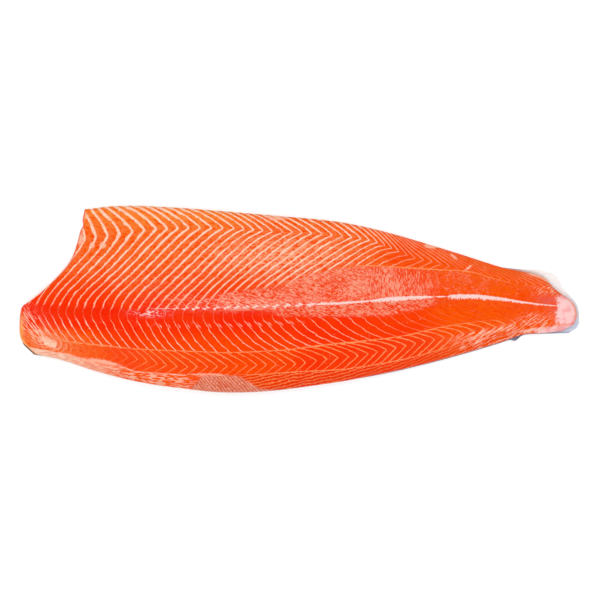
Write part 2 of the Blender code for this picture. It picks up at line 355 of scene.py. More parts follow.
def addOtherLines(at):
    # the back's chevrons, the lines along the back edge, the nape's flow and the tail's flecks
    along, up = at.along, at.up
    apexUp = curve("backApexUp", along)
    backStrong = 0.85 - 0.4 * ramp(apexUp - up, 0, 8) * (1 - ramp(along, 260, 330))
    backStrong = backStrong * (0.12 + 0.88 * ramp(along, 75, 150))
    at.backShow = np.clip(backStrong, 0, 1) * at.inBack
    at.backWide = 0.42 + 0.1 * ramp(along, 300, 420)
    stripStrong = ramp(along, 205, 232) * (0.8 - 0.3 * ramp(along, 300, 380))
    at.stripShow = np.maximum(stripStrong * at.inStrip, 0.9 * at.inWhorl)
    at.flowShow = hump(along, 16, 15) * hump(up + 0.8 * (along - 15), -26, 13)
    top = np.minimum(apexUp + 1, -17)
    flecks = ramp(along, 415, 460) * ramp(top - up, -2, 4) * (0.75 + 0.25 * ramp(along, 480, 520))
    at.flecks = highest(flecks, 0.85 * hump(along, 528, 14) * hump(up, 9, 5),
                        0.9 * hump(along, 518, 18) * hump(up, -21, 7))


def addSeams(at):
    # the white seam with what lies beside it, and the thin seams between the muscles
    along, d = at.along, at.seamAway
    for name in ("seamWide", "septumWide", "stripWide", "scrapeWide"):
        setattr(at, name, curve(name, along))
    at.scallop = 0.9 * ramp(along, 120, 170) * (1 - ramp(along, 275, 320))
    at.arcs = ramp(along, 335, 355) * (1 - ramp(along, 395, 440))
    at.scuff = 0.8 * hump(along, 190, 48) * hump(d, 6, 6)
    at.pins = hump(d, -17.5, 1.4) * ramp(along, 130, 142) * (1 - ramp(along, 268, 290))
    # painted glints: highlights of the light painted in pale beside the seam and along it
    at.gloss = highest(hump(along, 131, 15) * hump(d, -4.5, 3.2),
                       0.15 * hump(d, 2, 6) * ramp(along, 150, 180) * (1 - ramp(along, 250, 330)))


def addFat(at):
    # along the back edge, at the belly edge by the tail and the head, two shreds and the patches
    along, up = at.along, at.up
    at.fat = highest(
        at.inStrip * (1 - ramp(along, 145, 200)),
        0.75 * ramp(along, 498, 515) * (1 - ramp(at.fromEdge, 1.5, 4.5)) * (up > 0),
        0.4 * hump(at.fromHead, 2.0, 0.8) * ramp(up, 0, 30),
        0.65 * hump(along, 256, 13) * ramp(up, 77, 80),
        0.9 * hump(along, 411, 8) * ramp(up, 49, 53) * (1 - ramp(up, 57, 60)),
        0.75 * hump(along + 0.9 * (up - 43), 433, 2.6) * hump(up, 43, 4),
        0.75 * hump(along - 1.1 * (up - 31), 447, 2.6) * hump(up, 31, 4))
    for strength, middle, reach, lean, middleUp, reachUp in bands["fatPatches"]:
        patch = hump(along, middle, reach) * hump(up + lean * (along - middle), middleUp, reachUp)
        at.fat = np.maximum(at.fat, strength * patch)
    dashes = at.inStrip * (0.45 * ramp(along, 5, 25) + 0.55 * ramp(along, 80, 112))
    at.dashShow = np.maximum(dashes, 0.25 * at.inWhorl)
    at.nape = np.maximum((1 - ramp(along, 40, 85)) * at.inStrip, 0.9 * at.inWhorl)
    finRoot = ramp(curve("finTopUp", along) - up, -0.4, 2.6)
    at.fin = finRoot * ramp(along, 166, 176) * (1 - ramp(along, 262, 296))


def addGround(at):
    # deep red beside the backbone, amber at the edges, and a pale haze over the belly and the nape that
    # is painted glare, a reflection of the light painted in as colour
    along, up, d = at.along, at.up, at.seamAway
    deep = (54 - d) / 60
    deep = np.where(d < -8, 1 - 0.45 * ramp(-d, 14, 42) * (1 - 0.6 * ramp(along, 240, 300)), deep)
    deep = np.maximum(np.clip(deep, 0, 0.95 - 0.15 * ramp(along, 240, 380)), 0.6 * ramp(along, 320, 400))
    deep = deep * (1 - 0.6 * ramp(along, 375, 450))
    at.deep = deep * (1 - 0.5 * (1 - ramp(along, 30, 110)) * ramp(-d, 16, 34))
    at.amber = highest(ramp(d, 68, 94) * (1 - 0.8 * ramp(along, 190, 260)),
                       0.5 * (1 - ramp(along, 35, 100)) * ramp(-d, 20, 36),
                       0.8 * (1 - ramp(at.fromHead, 3, 11)) * ramp(-up, 8, 20))
    linePale = (1.45 - at.deep) * (1 - 0.6 * ramp(along, 290, 390))
    at.linePale = np.clip(linePale + 0.9 * at.ticks, 0, 1)
    # the haze is painted glare: a reflection of the light painted in as pale colour
    haze = 0.24 * ramp(d, 16, 40) + 1.5 * hump(along, 260, 56) * hump(up, 45, 15)
    haze = haze + 0.7 * hump(along, 285, 38) * hump(up, 20, 9)
    haze = haze + 0.3 * hump(along, 145, 40) * hump(up, 14, 9)
    haze *= (1 - 0.5 * at.inScrape) * (1 - 0.8 * ramp(along, 335, 375)) * (1 - at.frontCut)
    at.haze = haze + 0.75 * hump(along, 32, 24) * hump(up + 0.2 * (along - 30), -41, 11)


# three values share each map
fleshMapNames = {
    "mainBands": ("mainPhase", "mainGap", "mainShow"),
    "backBands": ("backPhase", "backGap", "backShow"),
    "stripBands": ("stripPhase", "finPhase", "stripShow"),
    "lineWidths": ("mainWide", "backWide", "flecks"),
    "flow": ("flowShow", "arcs", "fromEye"),
    "seam": ("seamAway", "seamWide", "scallop"),
    "septum": ("septumAway", "septumWide", "linePale"),
    "edges": ("stripAway", "stripWide", "scrapeWide"),
    "dashes": ("dashShow", "inWhorl", "tailRim"),
    "scraped": ("scrapeAway", "scrape", "inScrape"),
    "tones": ("deep", "haze", "pins"),
    "fats": ("fat", "fin", "gloss"),
    "ends": ("tissue", "raw", "cutFace"),
    "grounds": ("amber", "nape", "scuff"),
    "headFace": ("onCut", "rings", "faceDeep"),
}
skinMapNames = {
    "skinPlace": ("side", "level", "flap"), "skinGrid": ("along", "up", "stub"),
    "skinTints": ("napeDark", "tailBlue", "rim"),
}


def addMaps(piece, at, names):
    for name, parts in names.items():
        layer = piece.data.attributes.new(name, "FLOAT_VECTOR", "POINT")
        values = np.stack([getattr(at, part) for part in parts], axis=1)
        layer.data.foreach_set("vector", values.astype(np.float32).ravel())


def newPiece(name, bm):
    bmesh.ops.recalc_face_normals(bm, faces=bm.faces[:])
    mesh = bpy.data.meshes.new(name)
    bm.to_mesh(mesh)
    bm.free()
    mesh.shade_smooth()
    piece = bpy.data.objects.new(name, mesh)
    bpy.context.collection.objects.link(piece)
    return piece


def newGrid(grid):
    bm = bmesh.new()
    bmesh.ops.create_grid(bm, x_segments=grid["alongFaces"], y_segments=grid["acrossFaces"], size=1)
    return bm


def gridPlaces(piece):
    # each vertex's place in its grid: 0 to 1 from head to tail, -1 to 1 from back to belly, and its level
    values = np.empty(len(piece.data.vertices) * 3)
    piece.data.vertices.foreach_get("co", values)
    s, t, level = values.reshape(-1, 3).T
    return (s + 1) / 2, t, level


def crowd(grid, s, t):
    # draws the grid's lines towards its ends and edges
    side = (1 - grid["edgeCrowding"]) * t + grid["edgeCrowding"] * np.sin(np.pi / 2 * t)
    return s - grid["endCrowding"] / (2 * np.pi) * np.sin(2 * np.pi * s), side


def setPlaces(piece, along, up, height):
    places = np.stack([(along - form["length"] / 2) * mm, up * mm, height * mm], axis=1)
    piece.data.vertices.foreach_set("co", places.ravel())
    piece.data.update()


# Flesh: one grid for the cut face, its rim drawn down to the skin and in under the fillet
fleshGrid = {"alongFaces": 420, "acrossFaces": 160, "endCrowding": 0.35, "edgeCrowding": 0.45,
             "wallRows": 5, "underRows": (0.985, 0.95, 0.88, 0.7), "bandBulge": 0.32, "lineSink": 0.12,
             "seamRise": 0.35, "ringSpacing": 4.6,
             # on the back and on the belly: the rings' middle across, how flat, the middle's height
             "ringMiddles": ((-26, 1.5, 9), (14, 3.4, 5))}


def fleshPlaces(s, t, level):
    s, side = crowd(fleshGrid, s, t)
    head = through(form["headCut"], side) + through(form["skinShowsHead"], side) / form["length"]
    tail = through(form["fleshTail"], side)
    share = head + (tail - head) * s
    reach = fleshReach(share, side)
    up = midlineUp(share) + side * reach
    base = overSkin(share, up, form["skin"] + form["gap"])
    change = ramp(share, *form["sectionChange"])
    section = (1 - change) * through(form["frontSection"], side)
    section = section + change * through(form["tailSection"], side)
    furrow = hump(side * reach, 0, form["furrowWidth"])
    furrow = furrow * ramp(share, 0.02, 0.12) * (1 - ramp(share, 0.9, 0.97))
    full = form["crown"] * through(form["crownAlong"], share) * section - form["skin"] - form["gap"]
    full = full - form["furrowDepth"] * furrow
    fromEdge = (1 - np.abs(side)) * reach
    fromTail = (tail - share) * form["length"]
    height = full * roundOff(fromEdge, np.minimum(form["sideRound"], reach / 2))
    height = height * ovalOff((share - head) * form["length"], through(form["headRound"], side))
    height = height * roundOff(fromTail, form["tailRound"])
    start = np.arcsin(form["wall"])
    rise = start * (1 - np.clip(level / fleshGrid["wallRows"], 0, 1))
    lean = through(form["headLean"], side) * (1 - ramp(s, 0, form["headLeanReach"]))
    lean = lean * (1 - np.cos(rise)) / (1 - np.cos(start))
    along = share * form["length"] + lean
    fromHead = along - through(form["headCut"], side) * form["length"]
    return along, up, base + height * np.sin(rise) / form["wall"], (fromHead, fromTail, fromEdge)


def makeFlesh():
    bm = newGrid(fleshGrid)
    rim = [edge for edge in bm.edges if edge.is_boundary]
    shrinks = [1.0] * fleshGrid["wallRows"]
    shrinks += [b / a for a, b in zip((1,) + fleshGrid["underRows"], fleshGrid["underRows"])]
    for shrink in shrinks:
        grown = bmesh.ops.extrude_edge_only(bm, edges=rim)["geom"]
        verts = [item for item in grown if isinstance(item, bmesh.types.BMVert)]
        bmesh.ops.translate(bm, vec=(0, 0, 1), verts=verts)
        bmesh.ops.scale(bm, vec=(shrink, shrink, 1), verts=verts)
        rim = [item for item in grown if isinstance(item, bmesh.types.BMEdge)]
        rim = [edge for edge in rim if edge.is_boundary]
    bmesh.ops.triangle_fill(bm, edges=rim, use_beauty=True)
    piece = newPiece("filletFlesh", bm)
    s, t, level = gridPlaces(piece)
    along, up, height, (fromHead, fromTail, fromEdge) = fleshPlaces(s, t, level)
    at = SimpleNamespace(along=along, up=up, fromHead=fromHead, fromTail=fromTail, fromEdge=fromEdge)
    for add in (addZones, addPhases, addEnds, addMainLines, addOtherLines, addSeams, addFat, addGround):
        add(at)
    bulge = at.mainShow * np.sin(np.pi * at.mainPhase) ** 2
    bulge = bulge + at.backShow * np.sin(np.pi * at.backPhase) ** 2
    ridge = np.exp(-(at.seamAway / np.maximum(at.seamWide, 0.3)) ** 2) * ramp(at.seamWide, 0.4, 1.2)
    relief = fleshGrid["bandBulge"] * bulge - fleshGrid["lineSink"] + fleshGrid["seamRise"] * ridge
    edge = ramp(1 - np.abs(t), 0, 0.02) * ramp(s, 0, 0.01) * ramp(1 - s, 0, 0.01)
    height = height + np.where(level < 0.5, relief * edge, 0)  # level 0 is the cut face
    setPlaces(piece, along, up, height)

    # the head cut shows the bands end on, as rings about the thick muscles beside the backbone
    ringsBack, ringsBelly = [np.hypot((up - middle) / flat, height - high)
                             for middle, flat, high in fleshGrid["ringMiddles"]]
    at.rings = np.where(up < -1, ringsBack, ringsBelly) / fleshGrid["ringSpacing"]
    at.onCut = 1 - ramp(fromHead, 1.1, 2.3)
    at.faceDeep = 0.75 * ramp(height, 22, 4)
    addMaps(piece, at, fleshMapNames)
    return piece


# Skin: a thin closed sheet under the flesh, a little wider than it
skinGrid = {"alongFaces": 260, "acrossFaces": 96, "endCrowding": 0.45, "edgeCrowding": 0.55}


def makeSkin():
    bm = newGrid(skinGrid)
    raised = bmesh.ops.extrude_face_region(bm, geom=bm.faces[:])["geom"]
    top = [item for item in raised if isinstance(item, bmesh.types.BMVert)]
    bmesh.ops.translate(bm, vec=(0, 0, 1), verts=top)
    piece = newPiece("filletSkin", bm)
    s, t, level = gridPlaces(piece)
    s, side = crowd(skinGrid, s, t)
    headTuck = form["skinTuck"] * (1 - ramp(through(form["skinShowsHead"], side), 0, 0.4))
    head = through(form["headCut"], side) + headTuck / form["length"]
    share = head + (through(form["skinTail"], side) - head) * s
    along = share * form["length"]
    tuck = form["skinTuck"] * (1 - ramp(skinShows(share, side), 0, 0.4))
    up = midlineUp(share) + side * (skinReach(share, side) - tuck)
    height = overSkin(share, up, form["skin"] * level)
    setPlaces(piece, along, up, height)
    at = SimpleNamespace(along=along, up=up, side=side, level=level)
    at.flap = ramp(along, 480, 505) * ramp(side, 0.2, 0.5)
    at.stub = hump(along, form["stubPlace"] * form["length"], 5.5) * ramp(-side, 0.86, 0.93)
    at.napeDark = (1 - ramp(along, 14, 24)) * ramp(-side, 0.7, 0.85)
    at.tailBlue = ramp(along, 520, 530) * ramp(-side, 0.3, 0.6)
    at.rim = ramp(-side, 0.9, 0.97)
    addMaps(piece, at, skinMapNames)
    return piece


# Shader helpers
def feed(tree, socket, value):
    # links another node's output to the socket, or sets a number or a colour on it
    if isinstance(value, bpy.types.NodeSocket):
        tree.links.new(value, socket)
    else:
        socket.default_value = value


def calc(tree, operation, *values):
    node = tree.nodes.new("ShaderNodeMath")
    node.operation = operation
    for socket, value in zip(node.inputs, values):
        feed(tree, socket, value)
    return node.outputs[0]


def plus(tree, first, *others):
    for other in others:
        first = calc(tree, "ADD", first, other)
    return first


def minus(tree, a, b):
    return calc(tree, "SUBTRACT", a, b)


def times(tree, first, *others):
    for other in others:
        first = calc(tree, "MULTIPLY", first, other)
    return first


def between(tree, amount, under, over):
    return plus(tree, times(tree, over, amount), times(tree, under, minus(tree, 1, amount)))


def fade(tree, value, start, end):
    # 0 at start, 1 at end, smoothly
    node = tree.nodes.new("ShaderNodeMapRange")
    node.interpolation_type = "SMOOTHSTEP"
    node.clamp = True
    for name, setting in (("Value", value), ("From Min", start), ("From Max", end)):
        feed(tree, node.inputs[name], setting)
    return node.outputs["Result"]


def blendColour(tree, amount, under, over):
    node = tree.nodes.new("ShaderNodeMix")
    node.data_type = "RGBA"
    for number, value in ((0, amount), (6, under), (7, over)):  # a colour mix's own sockets
        feed(tree, node.inputs[number], value)
    return node.outputs[2]


def readMaps(tree, names):
    # the three values of each of the piece's maps, by name
    maps = SimpleNamespace()
    for name, parts in names.items():
        attribute = tree.nodes.new("ShaderNodeAttribute")
        attribute.attribute_name = name
        split = tree.nodes.new("ShaderNodeSeparateXYZ")
        tree.links.new(attribute.outputs["Vector"], split.inputs[0])
        for part, value in zip(parts, split.outputs):
            setattr(maps, part, value)
    return maps


def turned(tree, lengths, turn):
    # "lengths" stretches a texture along and across a direction turned from the fillet's length
    coords = tree.nodes.new("ShaderNodeTexCoord")
    mapping = tree.nodes.new("ShaderNodeMapping")
    mapping.vector_type = "TEXTURE"
    mapping.inputs["Scale"].default_value = (*lengths, 1)
    mapping.inputs["Rotation"].default_value = (0, 0, turn)
    tree.links.new(coords.outputs["Object"], mapping.inputs["Vector"])
    return mapping.outputs[0]


def noise(tree, scale, detail=2.0, rough=0.5, lengths=(1, 1), turn=0.0, warp=0.0):
    texture = tree.nodes.new("ShaderNodeTexNoise")
    texture.inputs["Scale"].default_value = scale
    texture.inputs["Detail"].default_value = detail
    texture.inputs["Roughness"].default_value = rough
    texture.inputs["Distortion"].default_value = warp
    tree.links.new(turned(tree, lengths, turn), texture.inputs["Vector"])
    return texture.outputs["Fac"]


def creases(tree, scale, lengths, turn, warp):
    # how far each place is from the crease between two flakes
    drift = tree.nodes.new("ShaderNodeTexNoise")
    drift.inputs["Scale"].default_value = scale * 0.7
    tree.links.new(turned(tree, (1, 1), 0.0), drift.inputs["Vector"])
    shifted = tree.nodes.new("ShaderNodeVectorMath")
    shifted.operation = "MULTIPLY_ADD"
    shifted.inputs[1].default_value = (warp, warp, 0)
    tree.links.new(drift.outputs["Color"], shifted.inputs[0])
    tree.links.new(turned(tree, lengths, turn), shifted.inputs[2])
    texture = tree.nodes.new("ShaderNodeTexVoronoi")
    texture.feature = "DISTANCE_TO_EDGE"
    texture.inputs["Scale"].default_value = scale
    tree.links.new(shifted.outputs[0], texture.inputs["Vector"])
    return texture.outputs["Distance"]


def seen(red, green, blue):
    # the base colour that shows as this screen colour under the studio's light
    shares = (red / 255, green / 255, blue / 255)
    linear = [c / 12.92 if c <= 0.04045 else ((c + 0.055) / 1.055) ** 2.4 for c in shares]
    return (*[max(c - studio["sheen"], 0) / studio["brightness"] for c in linear], 1)


def newGroup(name, inputs, outputs):
    tree = bpy.data.node_groups.new(name, "ShaderNodeTree")
    for side, sockets in (("INPUT", inputs), ("OUTPUT", outputs)):
        for socket in sockets:
            tree.interface.new_socket(socket, in_out=side, socket_type="NodeSocketFloat")
    entry = tree.nodes.new("NodeGroupInput")
    leave = tree.nodes.new("NodeGroupOutput")
    return tree, entry.outputs[:len(inputs)], leave.inputs


def makeLineGroup():
    # pale lines at whole numbers of a phase: distance in millimetres, cut to a soft width
    given = ("Phase", "Gap", "Half Width", "Softness")
    tree, (phase, gap, half, soft), out = newGroup("muscleLines", given, ("Lines", "Saw"))
    offset = minus(tree, calc(tree, "FRACT", plus(tree, phase, 0.5)), 0.5)
    away = times(tree, calc(tree, "ABSOLUTE", offset), gap)
    lines = minus(tree, 1, fade(tree, away, minus(tree, half, soft), plus(tree, half, soft)))
    tree.links.new(lines, out["Lines"])
    tree.links.new(calc(tree, "FRACT", phase), out["Saw"])
    return tree


def makeEdgeGroup():
    # one pale seam where a signed distance is near nought, with a ragged edge
    given = ("Away", "Half Width", "Ragged", "Softness")
    tree, (away, half, ragged, soft), out = newGroup("paleSeam", given, ("Seam",))
    wide = times(tree, half, plus(tree, 1, swing(tree, ragged, 4.4)))
    drift = times(tree, swing(tree, ragged, 1.6), plus(tree, half, 0.4))
    distance = calc(tree, "ABSOLUTE", plus(tree, away, drift))
    seam = minus(tree, 1, fade(tree, distance, minus(tree, wide, soft), plus(tree, wide, soft)))
    tree.links.new(times(tree, seam, fade(tree, half, 0.02, 0.2)), out["Seam"])
    return tree


def useGroup(tree, group, *values):
    node = tree.nodes.new("ShaderNodeGroup")
    node.node_tree = group
    for socket, value in zip(node.inputs, values):
        feed(tree, socket, value)
    return node.outputs


def swing(tree, value, reach):
    # a noise value turned into one that swings about nought
    return times(tree, minus(tree, value, 0.5), reach)


def fibreNoise(tree, phase, away, across, lengthwise):
    # streaks that follow the muscle lines
    place = tree.nodes.new("ShaderNodeCombineXYZ")
    tree.links.new(times(tree, phase, across), place.inputs[0])
    tree.links.new(times(tree, away, lengthwise), place.inputs[1])
    texture = tree.nodes.new("ShaderNodeTexNoise")
    texture.inputs["Scale"].default_value = 1.0
    texture.inputs["Detail"].default_value = 4.0
    texture.inputs["Roughness"].default_value = 0.62
    tree.links.new(place.outputs[0], texture.inputs["Vector"])
    return texture.outputs["Fac"]


def newMaterial(name):
    material = bpy.data.materials.new(name)
    material.use_nodes = True
    tree = material.node_tree
    return material, tree, tree.nodes["Principled BSDF"]


def finishSurface(tree, shader, look, colour, rough, height):
    # links what changes over the surface, and sets the bump and the wet coat
    bump = tree.nodes.new("ShaderNodeBump")
    bump.inputs["Strength"].default_value = look["bumpStrength"]
    bump.inputs["Distance"].default_value = look["bumpDepth"]
    tree.links.new(height, bump.inputs["Height"])
    tree.links.new(bump.outputs[0], shader.inputs["Normal"])
    tree.links.new(colour, shader.inputs["Base Color"])
    tree.links.new(rough, shader.inputs["Roughness"])
    shader.inputs["Coat Weight"].default_value = look["wetness"]
    shader.inputs["Coat Roughness"].default_value = look["wetRoughness"]


fleshLook = {
    "orange": seen(249, 104, 18), "red": seen(250, 44, 6), "amber": seen(251, 132, 40),
    "hazeTone": seen(252, 168, 128), "bandDark": seen(246, 62, 6), "stripDark": seen(230, 58, 18),
    "paleLine": seen(254, 210, 184), "warmLine": seen(252, 150, 94), "fatTone": seen(254, 191, 162),
    "fatDash": seen(250, 92, 28), "napeWhite": seen(255, 226, 202), "finPale": seen(242, 166, 140),
    "finDark": seen(210, 92, 62), "scrapePale": seen(252, 167, 138), "scrapeDark": seen(248, 68, 26),
    "seamWhite": seen(254, 220, 214), "tissueTone": seen(255, 206, 204),
    "tissueRose": seen(252, 172, 172), "rawTone": seen(230, 98, 92), "rimOrange": seen(252, 128, 78),
    "cutYellow": seen(254, 150, 46), "cutPale": seen(262, 192, 132), "faceOrange": seen(252, 118, 44),
    "roughness": 0.22, "bumpStrength": 0.3, "bumpDepth": 0.0005, "sheen": 0.015, "wetness": 0.02,
    "wetRoughness": 0.12, "glow": 0.08, "glowRadius": (1.0, 0.35, 0.2), "glowDepth": 0.0015,
}


def addGrain(tree, maps):
    # textures that several layers share, kept beside the maps
    maps.broad = noise(tree, 38)
    maps.wander = noise(tree, 110)
    maps.fine = noise(tree, 420, 3.0, 0.6)
    maps.crinkle = noise(tree, 560, 3.0, 0.6, (2.6, 0.55), -0.35, 0.5)
    hatch = noise(tree, 620, 2.0, 0.6, (2.4, 0.8), -0.45)
    fibres = fibreNoise(tree, maps.mainPhase, maps.seamAway, 2.6, 0.28)
    maps.mottle = plus(tree, times(tree, hatch, 0.45), times(tree, fibres, 0.55))


def addLines(tree, maps, lineGroup):
    # the lines wander, swell and break
    maps.shake = plus(tree, swing(tree, maps.wander, 0.30), swing(tree, maps.fine, 0.28))
    swell = plus(tree, times(tree, maps.wander, 1.6), times(tree, maps.fine, 0.5))
    broken = fade(tree, plus(tree, maps.fine, times(tree, maps.wander, 0.5)), 0.42, 0.82)
    maps.broken = plus(tree, 0.55, times(tree, broken, 0.5))
    mainPhase = plus(tree, maps.mainPhase, maps.shake)
    backPhase = plus(tree, maps.backPhase, maps.shake)
    stripPhase = plus(tree, maps.stripPhase, times(tree, maps.shake, 3.6))
    finPhase = plus(tree, maps.finPhase, times(tree, maps.shake, 5.5))
    mainHalf = times(tree, maps.mainWide, swell)
    maps.mainLines, maps.saw = useGroup(tree, lineGroup, mainPhase, maps.mainGap, mainHalf, 0.3)[:2]
    backHalf = times(tree, maps.backWide, swell)
    maps.backLines = useGroup(tree, lineGroup, backPhase, maps.backGap, backHalf, 0.27)[0]
    stripHalf = plus(tree, 0.4, times(tree, maps.inWhorl, 0.3))
    maps.stripLines = useGroup(tree, lineGroup, stripPhase, bands["stripSpacing"], stripHalf, 0.5)[0]
    finHalf = times(tree, swell, 0.6)
    maps.finLines = useGroup(tree, lineGroup, finPhase, bands["finSpacing"], finHalf, 0.8)[0]
    pinPhase = plus(tree, mainPhase, -0.24)
    maps.pinDots = useGroup(tree, lineGroup, pinPhase, maps.mainGap, 0.35, 0.4)[0]


def paintGround(tree, maps, look):
    # orange to deep red, amber at the edges, with darker fibres
    redness = plus(tree, maps.deep, swing(tree, maps.broad, 0.5))
    colour = blendColour(tree, redness, look["orange"], look["red"])
    colour = blendColour(tree, maps.amber, colour, look["amber"])
    darker = times(tree, fade(tree, maps.mottle, 0.54, 0.38), 0.7)
    return blendColour(tree, darker, colour, look["bandDark"])


def paintScrape(tree, maps, look, colour):
    # the strip scraped along the backbone: small flakes with creases between them
    above = fade(tree, maps.seamAway, -1.0, 1.0)
    flakesFlat = creases(tree, 240, (0.8, 1.3), -0.3, 0.006)
    flakesArc = creases(tree, 200, (0.7, 2.2), -0.1, 0.003)
    flakesBelow = creases(tree, 240, (1.6, 0.7), 0.7, 0.004)
    flakes = between(tree, above, flakesBelow, between(tree, maps.arcs, flakesFlat, flakesArc))
    upright = noise(tree, 620, 3.0, 0.6, (0.5, 2.4), 0.12, 0.5)
    torn = between(tree, times(tree, maps.arcs, above), maps.crinkle, upright)
    maps.spots = plus(tree, flakes, swing(tree, torn, 3.0), swing(tree, maps.broad, 0.8))
    tone = blendColour(tree, fade(tree, maps.spots, -0.1, 0.4), look["scrapeDark"], look["scrapePale"])
    ragged = plus(tree, maps.scrape, swing(tree, maps.fine, 0.9), swing(tree, maps.wander, 0.6))
    amount = times(tree, fade(tree, ragged, 0.25, 0.85), maps.inScrape, 0.85)
    return blendColour(tree, amount, colour, tone)


def paintGlareHaze(tree, maps, look, colour):
    # a pale haze of painted glare (a reflection of the light painted in as colour) that thins across each
    # band, and the scuffed streak along the white seam
    thins = plus(tree, 1.1, times(tree, maps.saw, -0.7))
    amount = times(tree, maps.haze, fade(tree, maps.mottle, 0.42, 0.60), thins)
    colour = blendColour(tree, amount, colour, look["hazeTone"])
    for low, high, tone in ((0.52, 0.60, "paleLine"), (0.46, 0.38, "scrapeDark")):
        amount = times(tree, maps.scuff, 0.8, fade(tree, maps.crinkle, low, high))
        colour = blendColour(tree, amount, colour, look[tone])
    return colour


def paintLines(tree, maps, look, colour, seamGroup):
    # the muscle lines, the swirl at the nape, and the thin seams between the muscles
    lineTone = blendColour(tree, maps.linePale, look["warmLine"], look["paleLine"])
    maps.mainAmount = times(tree, maps.mainLines, maps.mainShow, maps.broken)
    colour = blendColour(tree, maps.mainAmount, colour, lineTone)
    backAmount = times(tree, maps.backLines, maps.backShow, maps.broken)
    colour = blendColour(tree, backAmount, colour, look["warmLine"])
    weaker = minus(tree, 0.85, times(tree, maps.inWhorl, 0.7))
    stripDark = times(tree, minus(tree, 1, maps.stripLines), maps.stripShow, weaker)
    colour = blendColour(tree, stripDark, colour, look["stripDark"])
    offEye = fade(tree, plus(tree, maps.fromEye, swing(tree, maps.fine, 4.0)), 1.0, 4.0)
    stripTone = blendColour(tree, maps.inWhorl, look["warmLine"], look["napeWhite"])
    stripAmount = times(tree, maps.stripLines, maps.stripShow, maps.broken, offEye)
    colour = blendColour(tree, stripAmount, colour, stripTone)
    flow = noise(tree, 400, 2.0, 0.5, (4.0, 0.45), -0.95, 0.3)
    flowAmount = times(tree, maps.flowShow, fade(tree, flow, 0.53, 0.57), 0.7)
    colour = blendColour(tree, flowAmount, colour, look["napeWhite"])
    shreds = noise(tree, 380, 3.0, 0.55, (3.4, 0.45), 0.6, 0.4)
    fleckAmount = times(tree, maps.flecks, fade(tree, shreds, 0.50, 0.62))
    colour = blendColour(tree, fleckAmount, colour, look["paleLine"])
    for away, half in ((maps.septumAway, maps.septumWide), (maps.stripAway, maps.stripWide),
                       (maps.scrapeAway, maps.scrapeWide)):
        amount = useGroup(tree, seamGroup, away, half, maps.fine, 0.4)[0]
        colour = blendColour(tree, times(tree, amount, maps.broken), colour, look["warmLine"])
    return colour


def paintFat(tree, maps, look, colour):
    # fat along the back with its dashes, and the striped root of the fin
    dashes = fade(tree, noise(tree, 420, 2.0, 0.5, (3.0, 0.55), -0.08, 0.4), 0.44, 0.50)
    fatTone = blendColour(tree, maps.nape, look["fatTone"], look["napeWhite"])
    fatTone = blendColour(tree, times(tree, dashes, maps.dashShow), fatTone, look["fatDash"])
    fatAmount = fade(tree, plus(tree, maps.fat, swing(tree, maps.mottle, 1.1)), 0.25, 0.7)
    colour = blendColour(tree, times(tree, fatAmount, 0.85), colour, fatTone)
    finTone = blendColour(tree, times(tree, maps.finLines, maps.broken), look["finDark"], look["finPale"])
    finMix = plus(tree, maps.fin, swing(tree, maps.fine, 1.6), swing(tree, maps.wander, 1.0))
    finAmount = times(tree, fade(tree, finMix, 0.25, 0.85), 0.95)
    return blendColour(tree, finAmount, colour, finTone)


def paintSeam(tree, maps, look, colour, seamGroup):
    # the white seam over the backbone, toothed and scalloped, with painted glints (highlights of the
    # light painted in pale) and pale dots beside it
    glints = noise(tree, 420, 2.0, 0.6, (1.6, 0.8), 0.0, 0.8)
    # painted highlights: the glints are light, painted in with the seam's white
    glossAmount = times(tree, maps.gloss, fade(tree, glints, 0.49, 0.60))
    colour = blendColour(tree, glossAmount, colour, look["seamWhite"])
    pinAmount = times(tree, maps.pinDots, maps.pins, 0.85)
    colour = blendColour(tree, pinAmount, colour, look["paleLine"])
    teeth = noise(tree, 600, 2.0, 0.6, (0.6, 2.2))
    jagged = plus(tree, times(tree, maps.fine, 0.4), times(tree, teeth, 0.6))
    fromLine = minus(tree, times(tree, maps.saw, 2), 1)
    away = plus(tree, maps.seamAway, times(tree, fromLine, maps.scallop))
    swell = minus(tree, times(tree, calc(tree, "ABSOLUTE", fromLine), 2.3), 1.4)
    half = times(tree, maps.seamWide, plus(tree, 1, times(tree, swell, maps.scallop)))
    seam = useGroup(tree, seamGroup, away, half, jagged, 0.35)[0]
    return blendColour(tree, times(tree, seam, 0.92), colour, look["seamWhite"])


